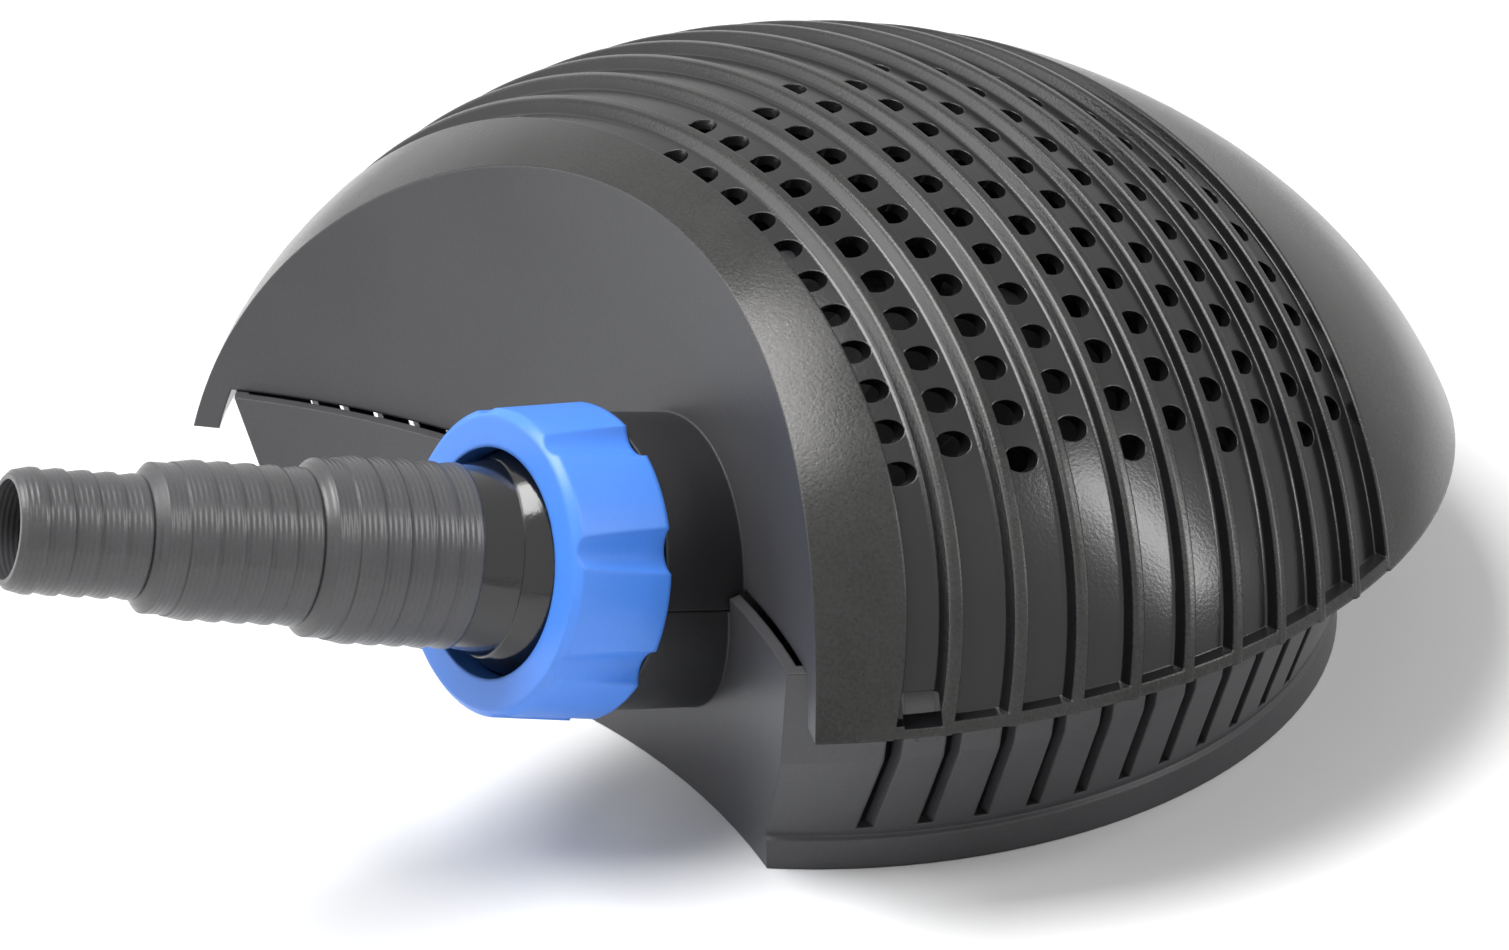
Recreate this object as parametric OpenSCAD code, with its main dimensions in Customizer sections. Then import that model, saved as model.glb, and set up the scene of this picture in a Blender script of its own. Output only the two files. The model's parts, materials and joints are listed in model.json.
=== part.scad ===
// Pond filter pump in a ribbed strainer cage with a ball-jointed hose tail.
// Z is up from the floor, the outlet looks towards -Y and X runs across the cage.
// The origin is on the floor, under the centre of the dome.

/* [Cage] */
// Full width of the dome's ellipsoid
dome_w = 316; // [290:1:340]
// Full length of the dome's ellipsoid
dome_l = 280; // [265:1:300]
// Height of the dome above its widest level
dome_h = 111; // [106:1:120]
// Height of the dome's widest level above the floor
dome_z = 16; // [12:1:20]
// Wall thickness of both shells
wall = 2.6; // [2:0.1:3.2]
// Height of the upper shell's lower edge above the floor
rim_z = 45; // [42:0.5:48]
// How far the upper shell's skirt hangs over the lower shell
skirt_h = 9.5; // [7:0.5:11]
// Gap between the two shells all round
seam = 0.3; // [0.2:0.05:0.5]

/* [Ribs] */
// Number of ribs between the front and rear bands
rib_count = 9; // [6:1:10]
// Distance from rib to rib along the cage
rib_pitch = 11.75; // [10.5:0.25:12.5]
// Length of the first groove behind the front band
first_pitch = 8.3; // [7.5:0.1:11]
// Thickness of a rib
rib_t = 2.2; // [1.6:0.1:2.8]
// Depth of the grooves between the ribs
groove_d = 3.2; // [2:0.1:4]
// Lean of the ribs towards the rear, in degrees
rib_lean = 26; // [20:1:30]
// Distance of the first groove in front of the dome's centre, at the lower edge
first_groove = 73.5; // [70:0.5:78]
// Height of the plain band along the upper shell's lower edge
lip_h = 2.8; // [2:0.1:4]
// Diameter of the strainer holes
hole_d = 6.2; // [4:0.1:7]
// Distance between the strainer holes along a groove
hole_pitch = 12.6; // [11:0.1:16]

/* [Front] */
// Radius of the hollow front wall
front_r = 230; // [210:1:260]
// Sideways place of the hollow front wall's axis
front_x = 21; // [10:1:25]
// Distance of the front wall's deepest line in front of the dome's centre
front_y = 68.5; // [66:0.5:72]
// Lean of the upper front wall, in degrees
front_lean = 11.5; // [8:0.5:14]
// Lean of the lower front wall, in degrees
foot_lean = 3.7; // [1:0.1:5]

/* [Outlet] */
// Sideways place of the outlet
outlet_x = 40; // [36:1:44]
// Distance of the nut's front face in front of the dome's centre
nut_y = 108.7; // [107:0.1:112]
// Height of the centre of the nut's front face above the floor
nut_z = 65; // [64:0.5:67]
// Upward tilt of the outlet, in degrees
outlet_tilt = 20; // [18:0.5:22]
// Diameter of the nut at its rear
nut_d = 66; // [64:0.5:68]
// Diameter of the nut at its front
nut_front_d = 63; // [61:0.5:64]
// Length of the nut
nut_l = 22; // [20:0.5:24]
// Diameter of the nut's front opening
nut_hole_d = 47.2; // [46.6:0.2:48]
// Number of grip flutes round the nut
flute_count = 8; // [6:1:12]
// Radius of a grip flute
flute_r = 6; // [4:0.5:9]
// Depth of a grip flute
flute_d = 1; // [0.6:0.1:1.2]
// Diameter of the collar that the two shells form round the outlet
collar_d = 62; // [61:0.5:63]

/* [Hose tail] */
// Hose size of the outer step
step_a_d = 25; // [24:0.5:27]
// Hose size of the middle step
step_b_d = 32; // [31:0.5:33]
// Hose size of the inner step
step_c_d = 38; // [37:0.5:39]
// Length of the outer step
step_a_l = 33; // [30:1:36]
// Length of the middle step
step_b_l = 34; // [30:1:38]
// Length of the inner step
step_c_l = 34; // [30:1:38]
// Bore of the hose tail
tail_bore_d = 19.6; // [16:0.2:20]
// Height of a barb over its step, as the step's wall stands back between barbs
barb_h = 0.7; // [0.3:0.1:1]
// Rest angle of the tail, turned to the left of the outlet's axis, in degrees
tail_turn = 12; // [8:0.5:12]

/* [Pump] */
// Diameter of the motor can
motor_d = 64; // [60:1:68]
// Length of the motor can
motor_l = 78; // [70:1:84]
// Outer diameter of the pump chamber
chamber_d = 72; // [70:1:76]
// Diameter of the impeller
impeller_d = 50; // [40:1:54]
// Number of impeller vanes
vane_count = 6; // [4:1:8]
// Diameter of the rotor magnet
magnet_d = 33.6; // [30:0.2:35]
// Diameter of the ceramic shaft
shaft_d = 6; // [5:0.5:8]
// Running clearance of the shaft in its bushes
shaft_clear = 0.05; // [0.02:0.01:0.09]

/* [Base] */
// Height of the foot flange of the lower shell
foot_h = 6.6; // [5:0.2:8]
// Length of the foot flange's outline, whose width follows the dome's
foot_l = 220; // [212:1:226]
// Thickness of the rubber feet under the floor plate
pad_t = 2; // [1:0.5:2]
// Number of inlet slots in each side of the lower shell
slot_count = 11; // [8:1:12]
// Width of an inlet slot
slot_w = 2.8; // [2:0.1:4]

/* [Hidden] */
$fn = 96;

// One overrun serves every cut
over = 2;

// The dome is a ball of this radius, stretched to its width and height
ball_r = dome_l / 2;
stretch = [dome_w / dome_l, 1, 2 * dome_h / dome_l];
ball_lean = atan(stretch[2] * tan(rib_lean));
parting_z = rim_z + skirt_h;
rim_rise = rim_z - dome_z;
last_edge = rib_count + 1;
lip_in = 0.4;

function edge_y(i) = -first_groove + (i == 0 ? 0 : first_pitch + rib_pitch * (i - 1));
function edge_t(i) = (edge_y(i) - tan(rib_lean) * rim_rise) * cos(ball_lean);
function chord(r, t) = sqrt(max(0, r * r - t * t));

function arc_points(r, t0, t1, n) = [for (k = [0:n])
    let (a = asin(t0 / r) + k / n * (asin(t1 / r) - asin(t0 / r))) [r * cos(a), r * sin(a)]];
function groove_points(i) =
    let (a = edge_t(i) + (i == 0 ? 0 : rib_t / 2))
    let (b = edge_t(i + 1) - (i == rib_count ? 0 : rib_t / 2))
    let (deep = ball_r - groove_d)
    [[chord(ball_r, a), a], [chord(deep, a), a], [chord(deep, b), b], [chord(ball_r, b), b]];

// Ribbed outline of the ball from pole to pole
band_steps = 6;
ribbed_points = concat(
    arc_points(ball_r, -ball_r, edge_t(0), band_steps),
    [for (i = [0:rib_count]) each groove_points(i)],
    arc_points(ball_r, edge_t(last_edge), ball_r, 2 * band_steps));
shell_fn = 56;
hole_fn = 8;

// Inner face of the upper shell, as a ball
hollow_r = ball_r - wall - groove_d;
hole_rise = 35;
hole_rows = 6;
hole_step = hole_pitch / ball_r * 180 / PI;

// Front wall, leaning cylinders that meet at the parting height
front_axis_y = -front_y - front_r + tan(front_lean) * skirt_h;
front_len = dome_h + dome_z;

// Outlet, from the ball's centre along the outlet's axis
ball_back = 16;
joint_r = 25.4;
joint_clear = 0.3;
joint_y = -nut_y + ball_back * cos(outlet_tilt);
joint_z = nut_z - ball_back * sin(outlet_tilt);
nut_rear = ball_back - nut_l;
nut_round = 1.5;
thread_clear = 0.08;
thread_r = 29;
collar_r = collar_d / 2;
collar_bore = thread_r - 1.6;
collar_front = nut_rear - 0.4;
collar_deep = 39.7;
flange_r = thread_r + 2.4;
flange_t = 3;
flange_s = -collar_deep - seam - flange_t;
cup_front = 4;
ring_s = -21;
ring_t = 6;
ring_r = 20;
ring_in = 16.5;

// Spout of the pump chamber in the spigot's socket
spout_r = 13.8;
spout_bore = 10.8;
spout_offset = 20;
spout_s = -93;
seal_t = 2;
socket_s = flange_s - 1;
socket_l = 8;
spout_end = socket_s - seal_t;
socket_wall = 2.9;

// Hose tail, from the ball's centre along the tail's own axis
tail_r = [step_c_d / 2, step_b_d / 2, step_a_d / 2];
tail_l = [step_c_l, step_b_l, step_a_l];
neck_s = 15;
neck_l = 8;
bead_t = 4.5;
bead_drop = 1;
shoulder_t = 2.5;
barb_count = 5;
barb_land = 1.2;
ball_mouth = 17;
ball_rear_s = -13;
tip_round = 1;
tail_start = [neck_s, neck_s + tail_l[0], neck_s + tail_l[0] + tail_l[1]];
tail_end = tail_start[2] + tail_l[2];

// Pump, its axis along X with the motor towards -X
chamber_r = chamber_d / 2;
chamber_wall = 4;
chamber_half = 15;
chamber_back = 14;
back_wall = 3;
pump_y = joint_y - spout_s * cos(outlet_tilt) + spout_offset * sin(outlet_tilt);
pump_z = joint_z + spout_s * sin(outlet_tilt) + spout_offset * cos(outlet_tilt);
motor_r = motor_d / 2;
motor_wall = 2.4;
motor_in = motor_r - motor_wall;
motor_flange_t = 4;
motor_start = chamber_back;
motor_end = motor_start + motor_flange_t + motor_l;
magnet_r = magnet_d / 2;
rotor_gap = 0.7;
well_r = magnet_r + rotor_gap;
well_wall = 1.4;
well_l = 64;
well_end = motor_start + well_l;
well_out = well_r + well_wall;
seal_out = chamber_r - 2;
seal_in = seal_out - 4;
lid_t = 4;
fit_gap = 0.3;
stator_l = 34;
stator_start = motor_start + 20;
coil_l = 8;
coil_in = 1;
gland_boss_l = 6;
shaft_r = shaft_d / 2;
shaft_start = -8;
shaft_end = well_end - 1;
bush_r = shaft_r + 3;
bush_l = 6;
washer_t = 1.2;
front_bush_start = motor_start;
rear_bush_start = well_end - bush_l;
plate_eye = well_r - 1.5;
magnet_start = front_bush_start + bush_l + fit_gap + washer_t;
magnet_end = rear_bush_start - fit_gap - washer_t;
impeller_r = impeller_d / 2;
impeller_disc = 2;
impeller_back = 8;
hub_r = 7;
vane_t = 1.8;
eye_r = 14;
cover_t = 4;
inlet_len = 7;
inlet_wall = 2;
screw_r = 1.5;
screw_head_r = 2.8;
screw_head_h = 2;
screw_count = 4;
screw_ring_r = chamber_r + 3.2;
lug_r = 4.6;
cover_r = screw_ring_r + screw_head_r;

// Lower shell
low_top = parting_z - seam;
low_inset = 1.2;
low_floor_t = 3;
low_mid_share = 0.62;
foot_step = 0.8;
slot_z = foot_h + 3;
slot_top = rim_z - 3;
slot_pitch = 10;
slot_first = 64;
slot_in = 60;
pad_r = 8;
pad_peg_r = 3;
pad_x = 78;
pad_y = 62;
pad_front_y = 54;
pad_head = 1.5;

// Motor cradle, strap and cable gland
cradle_x = -8;
cradle_w = 26;
cradle_l = 84;
cradle_hole_x = 9.5;
cradle_hole_y = 36;
cradle_gap = 1.5;
cradle_out = 7;
cradle_arm_y = motor_r + cradle_gap + cradle_out;
cradle_arm_drop = 6;
boss_r = 3.5;
boss_h = 5.5;
boss_top = low_floor_t + boss_h;
cradle_foot_t = 4;
strap_t = 2;
strap_w = 12;
strap_hole_y = motor_r + 5;
strap_screw_l = 12;
gland_r = 6;
gland_l = 16.4;
gland_in = 8;
gland_head_r = 9;
gland_head_t = 3;
gland_bore_r = 3.6;
gland_x = -40;
gland_z = 26;

// Latches beside the first groove
latch_w = 6;
latch_z = rim_z - 8;
latch_top = parting_z - 2;
latch_deep = 8;
window_w = 7.4;
window_h = 5.2;
window_z = rim_z + 1.6;

shell_color = "#2b2c2e";
front_color = "#3a3b3d";
metal_color = "#b8b9bd";
rubber_color = "#1a1a1a";
nut_color = "#4c86e0";

// Stretches a ball about the dome's centre into the dome's ellipsoid
module stretched() {
    translate([0, 0, dome_z]) scale(stretch) children();
}

// Turns to the line square to the ribs, which the grooves run round
module square_to_ribs() {
    rotate([-90 - ball_lean, 0, 0]) children();
}

// Moves to the ball joint, +Z out along the outlet
module outlet_frame() {
    translate([outlet_x, joint_y, joint_z]) rotate([90 - outlet_tilt, 0, 0]) children();
}

// Moves to the pump chamber, +Z along the pump's axis to the motor
module pump_frame() {
    translate([outlet_x, pump_y, pump_z]) rotate([0, -90, 0]) children();
}

// Round bar from one height to another
module bar(r, a, b) {
    translate([0, 0, a]) cylinder(r = r, h = b - a);
}

// Round tube from one height to another
module pipe(r_out, r_in, a, b) {
    difference() {
        bar(r_out, a, b);
        bar(r_in, a - over, b + over);
    }
}

// Leaning cylinder in front of the cage, grown by a wall thickness
module front_space(lean, grow) {
    translate([front_x, front_axis_y, parting_z]) rotate([-lean, 0, 0])
        translate([0, 0, -front_len]) cylinder(r = front_r + grow, h = 2 * front_len, $fn = 200);
}

// Space below the seam: under the parting height, and under the outlet's axis at the collar
module below_seam(gap) {
    big = 2 * dome_l;
    side = 2 * (collar_r + gap);
    difference() {
        translate([-big, -big, -over]) cube([2 * big, 2 * big, parting_z - gap + over]);
        collar_strip(side);
    }
    intersection() {
        collar_strip(side);
        outlet_frame() translate([-big, -big - gap, -big]) cube([2 * big, big, 2 * big]);
    }
}

// Upright strip over the collar's width, from the nut to just behind the front wall
module collar_strip(side) {
    depth = nut_y - front_y + 3 * wall;
    translate([outlet_x - side / 2, -nut_y, -over]) cube([side, depth, dome_h + dome_z + over]);
}

// Strainer holes, each bored through both sides of the ball at once
module strainer_holes() {
    square_to_ribs() for (i = [0:rib_count], k = [0:hole_rows - 1]) {
        t = (edge_t(i) + edge_t(i + 1)) / 2;
        rise = hole_rise + hole_step * (k + (i % 2) / 2);
        translate([0, -chord(ball_r, t) * sin(rise), t]) rotate([0, 90, 0])
            cylinder(d = hole_d, h = 2 * dome_w, center = true, $fn = hole_fn);
    }
}

// Ball with its grooves and holes, hollow and open below
module ribbed_ball() {
    floor_z = rim_rise / stretch[2];
    difference() {
        square_to_ribs() rotate_extrude($fn = shell_fn) polygon(ribbed_points);
        translate([-dome_w, -dome_w, floor_z - 2 * dome_w]) cube(2 * dome_w);
        sphere(r = hollow_r);
        strainer_holes();
    }
}

// Smooth ring that closes the grooves along the lower edge
module edge_lip() {
    floor_z = rim_rise / stretch[2];
    difference() {
        intersection() {
            sphere(r = ball_r - lip_in);
            translate([-dome_w, -dome_w, floor_z]) cube([2 * dome_w, 2 * dome_w, lip_h]);
        }
        sphere(r = hollow_r);
    }
}

// Front wall of the cage, filling the dome's hollow behind the leaning cylinder
module front_plate() {
    difference() {
        intersection() {
            stretched() sphere(r = hollow_r + wall / 2);
            front_space(front_lean, wall);
            translate([-dome_w, -dome_l, rim_z]) cube([2 * dome_w, dome_l, dome_h + dome_z]);
        }
        front_space(front_lean, 0);
    }
}

// Pin, screw or hole pattern of four places round the pump's axis
module round_pump(r) {
    for (k = [0:screw_count - 1]) rotate([0, 0, (k + 0.5) * 360 / screw_count])
        translate([r, 0, 0]) children();
}

// Window beside the first groove for a latch, or the latch's own place there
module latch_frame(side) {
    y = edge_y(0) + first_pitch / 2 + tan(rib_lean) * (window_z - rim_z);
    h = (window_z - dome_z) / dome_h;
    x = dome_w / 2 * sqrt(1 - h * h - pow(y / ball_r, 2));
    turn = atan2(y / pow(ball_r, 2), x / pow(dome_w / 2, 2));
    translate([side * x, y, 0]) rotate([0, 0, side > 0 ? turn : 180 - turn]) children();
}

// Upper strainer shell with its front wall and the upper half of the collar
module upper_shell() {
    $fn = shell_fn;
    color(shell_color) resize([0, 0, 0]) difference() {
        union() {
            difference() {
                stretched() {
                    ribbed_ball();
                    edge_lip();
                }
                front_space(front_lean, 0);
            }
            front_plate();
            difference() {
                outlet_frame() bar(collar_r, -collar_deep, collar_front);
                difference() {
                    stretched() sphere(r = ball_r);
                    front_space(front_lean, wall / 2);
                }
            }
        }
        intersection() {
            below_seam(0);
            stretched() sphere(r = hollow_r);
        }
        intersection() {
            below_seam(0);
            outlet_frame() bar(collar_r + over, -collar_deep, collar_front + over);
        }
        outlet_frame() bar(collar_bore + seam, -collar_deep - over, ball_back);
        for (side = [-1, 1]) latch_frame(side)
            translate([-2 * (groove_d + wall), -window_w / 2, window_z])
                cube([3 * (groove_d + wall), window_w, window_h]);
    }
}

// Planform shape of the lower shell, turned about Z from a profile
module low_revolve(points) {
    scale([stretch[0], 1, 1]) rotate_extrude() polygon(points);
}

// Lower strainer shell with its floor plate, latches and the lower half of the collar
module lower_shell() {
    h = (low_top - dome_z) / dome_h * ball_r;
    top_r = sqrt(hollow_r * hollow_r - h * h) - low_inset;
    foot_r = foot_l / 2;
    mid_r = foot_r + (top_r - foot_r) * low_mid_share;
    mid_z = foot_h + (low_top - foot_h) / 2;
    outer = [[0, 0], [foot_r, 0], [foot_r, foot_h], [foot_r - foot_step, foot_h + foot_step],
        [mid_r, mid_z], [top_r, low_top], [0, low_top]];
    inner = [[0, low_floor_t], [foot_r - wall, low_floor_t], [foot_r - foot_step - wall, foot_h + foot_step],
        [mid_r - wall, mid_z], [top_r - wall, low_top + over], [0, low_top + over]];
    color(front_color) difference() {
        union() {
            difference() {
                union() {
                    low_revolve(outer);
                    gland_frame() bar(gland_head_r, 0, gland_l);
                    for (side = [-1, 1]) latch_frame(side) latch_tongue();
                }
                difference() {
                    low_revolve(inner);
                    front_space(foot_lean, wall);
                    gland_frame() bar(gland_head_r, 0, gland_l);
                }
                side_slots();
                front_space(foot_lean, 0);
            }
            difference() {
                intersection() {
                    outlet_frame() bar(collar_r, -collar_deep, collar_front);
                    below_seam(seam);
                }
                difference() {
                    translate([-dome_w, -dome_l, 0]) cube([2 * dome_w, 2 * dome_l, dome_h]);
                    front_space(foot_lean, wall / 2);
                }
            }
            cradle_bosses();
        }
        difference() {
            collar_strip(2 * (collar_r + seam));
            below_seam(seam);
        }
        outlet_frame() bar(collar_bore + seam, -collar_deep - over, ball_back);
        cradle_places() bar(screw_r, low_floor_t, boss_top + over);
        foot_places() {
            bar(pad_r + seam, -over, pad_t);
            bar(pad_peg_r + seam, -over, low_floor_t + over);
        }
        gland_frame() bar(gland_r, -over, gland_l + over);
    }
}

// Inlet slots through both sides of the lower shell
module side_slots() {
    for (k = [0:slot_count - 1], x = [-dome_w - slot_in, slot_in])
        translate([x, -slot_first + k * slot_pitch - slot_w / 2, slot_z])
            cube([dome_w, slot_w, slot_top - slot_z]);
}

// Latch tongue moulded on the lower shell's edge, standing behind the window
module latch_tongue() {
    rise = (latch_top - dome_z) / dome_h;
    y = edge_y(0) + first_pitch / 2;
    face = dome_w / 2 * hollow_r / ball_r * sqrt(1 - pow(rise * ball_r / hollow_r, 2) - pow(y / hollow_r, 2));
    low = (window_z - dome_z) / dome_h;
    edge = dome_w / 2 * sqrt(1 - low * low - pow(y / ball_r, 2));
    translate([face - edge - joint_clear - latch_deep, -latch_w / 2, latch_z])
        cube([latch_deep, latch_w, latch_top - latch_z]);
}

// Places of the rubber feet under the floor plate
module foot_places() {
    for (x = [-pad_x, pad_x], y = [-pad_front_y, pad_y]) translate([x, y, 0]) children();
}

// Rubber feet, set flush in the floor plate, each with a peg through it and a head above
module rubber_feet() {
    color(rubber_color) foot_places() {
        bar(pad_r, 0, pad_t);
        bar(pad_peg_r, 0, low_floor_t);
        bar(pad_peg_r + pad_head, low_floor_t, low_floor_t + pad_head);
    }
}

// Places of the cradle's four screws
module cradle_places() {
    for (x = [-1, 1], y = [-1, 1])
        translate([cradle_x + x * cradle_hole_x, pump_y + y * cradle_hole_y, 0]) children();
}

// Bosses on the floor plate under the cradle
module cradle_bosses() {
    cradle_places() bar(boss_r, 0, boss_top);
}

// Place of the cable gland in the rear wall, +Z out of the cage
module gland_frame() {
    r = foot_l / 2 + gland_in - gland_head_t;
    y = sqrt(r * r - pow(gland_x / stretch[0], 2)) - gland_in;
    translate([gland_x, y, gland_z]) rotate([-90, 0, 0]) children();
}

// Union nut with grip flutes and a ball seat behind its front lip
module union_nut() {
    color(nut_color) outlet_frame() difference() {
        rotate_extrude() polygon([[0, nut_rear], [nut_d / 2, nut_rear],
            [nut_front_d / 2, ball_back - nut_round], [nut_front_d / 2 - nut_round, ball_back], [0, ball_back]]);
        bar(nut_hole_d / 2, 0, ball_back + over);
        bar(thread_r + thread_clear, nut_rear - over, cup_front + joint_clear);
        sphere(r = joint_r + joint_clear);
        for (k = [0:flute_count - 1]) rotate([0, 0, (k + 0.5) * 360 / flute_count])
            translate([nut_front_d / 2 + flute_r - flute_d, 0, nut_rear - over])
                cylinder(r = flute_r, h = nut_l + 2 * over);
    }
}

// Threaded spigot that the shells clamp, with a cup for the ball
module outlet_spigot() {
    cup_r = joint_r + joint_clear;
    color(shell_color) outlet_frame() difference() {
        union() {
            bar(thread_r, collar_front + seam, cup_front);
            bar(collar_bore, flange_s, collar_front + seam);
            bar(flange_r, flange_s, flange_s + flange_t);
            bar(spout_r + seam + socket_wall, socket_s - socket_l, flange_s);
        }
        bar(cup_r, 0, cup_front + over);
        sphere(r = cup_r);
        bar(ring_r + joint_clear, ring_s - joint_clear, 0);
        bar(spout_bore, socket_s - over, 0);
        bar(spout_r + seam, socket_s - socket_l - over, socket_s);
    }
}

// Slip ring behind the ball, which turns with the tail
module slip_ring() {
    color(rubber_color) outlet_frame() difference() {
        bar(ring_r, ring_s, ring_s + ring_t);
        bar(ring_in, ring_s - over, ring_s + ring_t + over);
        sphere(r = joint_r + joint_clear);
    }
}

// Flat seal between the pump's spout and the bottom of the spigot's socket
module spigot_seal() {
    color(rubber_color) outlet_frame() pipe(spout_r, spout_bore, spout_end, socket_s);
}

// Outline of one hose step from its inner end, each barb steep towards the nut
function step_points(i) =
    let (first = tail_start[i] + (i == 0 ? neck_l : bead_t + shoulder_t))
    let (last = i == 2 ? tail_end : tail_start[i + 1])
    let (pitch = (last - first) / barb_count)
    [for (k = [0:barb_count - 1])
        each [[tail_r[i] - barb_h, first + k * pitch], [tail_r[i], first + k * pitch],
            [tail_r[i], first + k * pitch + barb_land], [tail_r[i] - barb_h, first + (k + 1) * pitch]]];

// Outline of the smooth bead in front of one step
function bead_points(i) = i == 0 ? [] : let (r = tail_r[i - 1] - bead_drop)
    [[r, tail_start[i]], [r, tail_start[i] + bead_t]];

// Stepped hose tail with a ball at its inner end
module hose_tail() {
    steps = [for (i = [0:2]) each concat(bead_points(i), step_points(i))];
    shown = [for (k = [0:len(steps) - 2]) steps[k]];
    end_r = tail_r[2] - barb_h;
    neck_r = chord(joint_r, neck_s) - joint_clear;
    color(shell_color) tail_frame() difference() {
        union() {
            intersection() {
                sphere(r = joint_r);
                bar(joint_r + over, ball_rear_s, neck_s);
            }
            rotate_extrude() polygon(concat([[0, 0], [neck_r, 0], [neck_r, neck_s]], shown,
                [[end_r, tail_end - tip_round], [end_r - tip_round, tail_end], [0, tail_end]]));
        }
        bar(tail_bore_d / 2, ball_rear_s - over, tail_end + over);
        translate([0, 0, ball_rear_s])
            cylinder(r1 = ball_mouth, r2 = tail_bore_d / 2, h = neck_s - ball_rear_s);
    }
}

// Moves to the tail's own axis, turned to the left of the outlet
module tail_frame() {
    outlet_frame() rotate([0, -tail_turn, 0]) children();
}

// Pump chamber with a spout to the outlet
module volute() {
    color(shell_color) difference() {
        union() {
            pump_frame() bar(chamber_r, -chamber_half, chamber_back);
            outlet_frame() bar(spout_r, spout_s, spout_end);
            pump_frame() round_pump(screw_ring_r) bar(lug_r, -chamber_half, chamber_back);
        }
        pump_frame() bar(chamber_r - chamber_wall, -chamber_half - over, chamber_back - back_wall);
        pump_frame() bar(plate_eye, 0, chamber_back + over);
        outlet_frame() bar(spout_bore, spout_s, spout_end + over);
        pump_frame() round_pump(screw_ring_r) bar(screw_r, -chamber_half - over, chamber_back + over);
    }
}

// Suction cover on the pump chamber's open side
module volute_cover() {
    color(shell_color) pump_frame() difference() {
        union() {
            bar(cover_r, -chamber_half - cover_t, -chamber_half);
            bar(eye_r + inlet_wall, -chamber_half - cover_t - inlet_len, -chamber_half - cover_t / 2);
        }
        bar(eye_r, -chamber_half - cover_t - inlet_len - over, -chamber_half + over);
        round_pump(screw_ring_r) bar(screw_r, -chamber_half - cover_t - over, -chamber_half + over);
    }
}

// Screws through the cover and the chamber's lugs into the motor's flange
module cover_screws() {
    start = -chamber_half - cover_t;
    color(metal_color) pump_frame() round_pump(screw_ring_r) {
        bar(screw_r, start, motor_start + motor_flange_t);
        bar(screw_head_r, start - screw_head_h, start);
    }
}

// Flat seal ring in the motor's flange, against the chamber's back
module chamber_seal() {
    color(rubber_color) pump_frame() pipe(seal_out, seal_in, motor_start, motor_start + seal_t);
}

// Motor can with its flange and the well that the rotor runs in
module motor_can() {
    color(rubber_color) pump_frame() difference() {
        union() {
            bar(chamber_r, motor_start, motor_start + motor_flange_t);
            round_pump(screw_ring_r) bar(lug_r, motor_start, motor_start + motor_flange_t);
            bar(motor_r, motor_start, motor_end);
        }
        difference() {
            bar(motor_in, motor_start + motor_flange_t, motor_end + over);
            bar(well_out, motor_start, well_end + well_wall);
        }
        bar(well_r, motor_start - over, well_end);
        difference() {
            bar(seal_out, motor_start - over, motor_start + seal_t);
            bar(seal_in, motor_start - 2 * over, motor_start + seal_t + over);
        }
        round_pump(screw_ring_r) bar(screw_r, motor_start - over, motor_start + motor_flange_t + over);
    }
}

// Laminated stator ring round the rotor's well
module stator_core() {
    color(metal_color) pump_frame()
        pipe(motor_in - fit_gap, well_out + fit_gap, stator_start, stator_start + stator_l);
}

// Copper windings at both ends of the stator
module coil_windings() {
    color("#a05a2c") pump_frame() {
        pipe(motor_in - coil_in, well_out + coil_in, stator_start - coil_l, stator_start);
        pipe(motor_in - coil_in, well_out + coil_in, stator_start + stator_l, stator_start + stator_l + coil_l);
    }
}

// Lid that closes the motor can, with a boss that the cord would enter by
module can_lid() {
    color(rubber_color) pump_frame() difference() {
        union() {
            bar(motor_in - fit_gap, motor_end - lid_t, motor_end);
            bar(motor_r, motor_end, motor_end + lid_t / 2);
            bar(gland_head_r, motor_end, motor_end + gland_boss_l);
        }
        bar(gland_bore_r, motor_end - lid_t - over, motor_end + gland_boss_l + over);
    }
}

// Plate that closes the rotor's well behind the impeller
module bearing_plate() {
    color(shell_color) pump_frame()
        pipe(well_r - fit_gap, bush_r, front_bush_start, front_bush_start + bush_l);
}

module bush(start) {
    pump_frame() pipe(bush_r, shaft_r + shaft_clear, start, start + bush_l);
}

// Bush in the bearing plate
module front_bush() {
    color("#e8e6df") bush(front_bush_start);
}

// Wide bush that fills the well's closed end
module rear_bush() {
    color("#e8e6df") pump_frame()
        pipe(well_r - fit_gap, shaft_r + shaft_clear, rear_bush_start, rear_bush_start + bush_l);
}

// Ceramic shaft through both bushes
module ceramic_shaft() {
    color("#f2f1ec") pump_frame() bar(shaft_r, shaft_start, shaft_end);
}

// Magnet of the rotor
module rotor_magnet() {
    color("#55565a") pump_frame() pipe(magnet_r, shaft_r, magnet_start, magnet_end);
}

// Thrust washers between the magnet and the bushes
module thrust_washers() {
    color(metal_color) pump_frame() {
        pipe(bush_r, shaft_r, front_bush_start + bush_l + fit_gap, magnet_start);
        pipe(bush_r, shaft_r, magnet_end, rear_bush_start - fit_gap);
    }
}

// Impeller with its vanes standing on the back disc
module impeller() {
    color("#d8d9db") pump_frame() difference() {
        union() {
            bar(impeller_r, impeller_back, impeller_back + impeller_disc);
            bar(hub_r, shaft_start, impeller_back);
            for (k = [0:vane_count - 1]) rotate([0, 0, k * 360 / vane_count])
                translate([0, -vane_t / 2, shaft_start])
                    cube([impeller_r - vane_t / 2, vane_t, impeller_back - shaft_start]);
        }
        bar(shaft_r, shaft_start - over, impeller_back + impeller_disc + over);
    }
}

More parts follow.
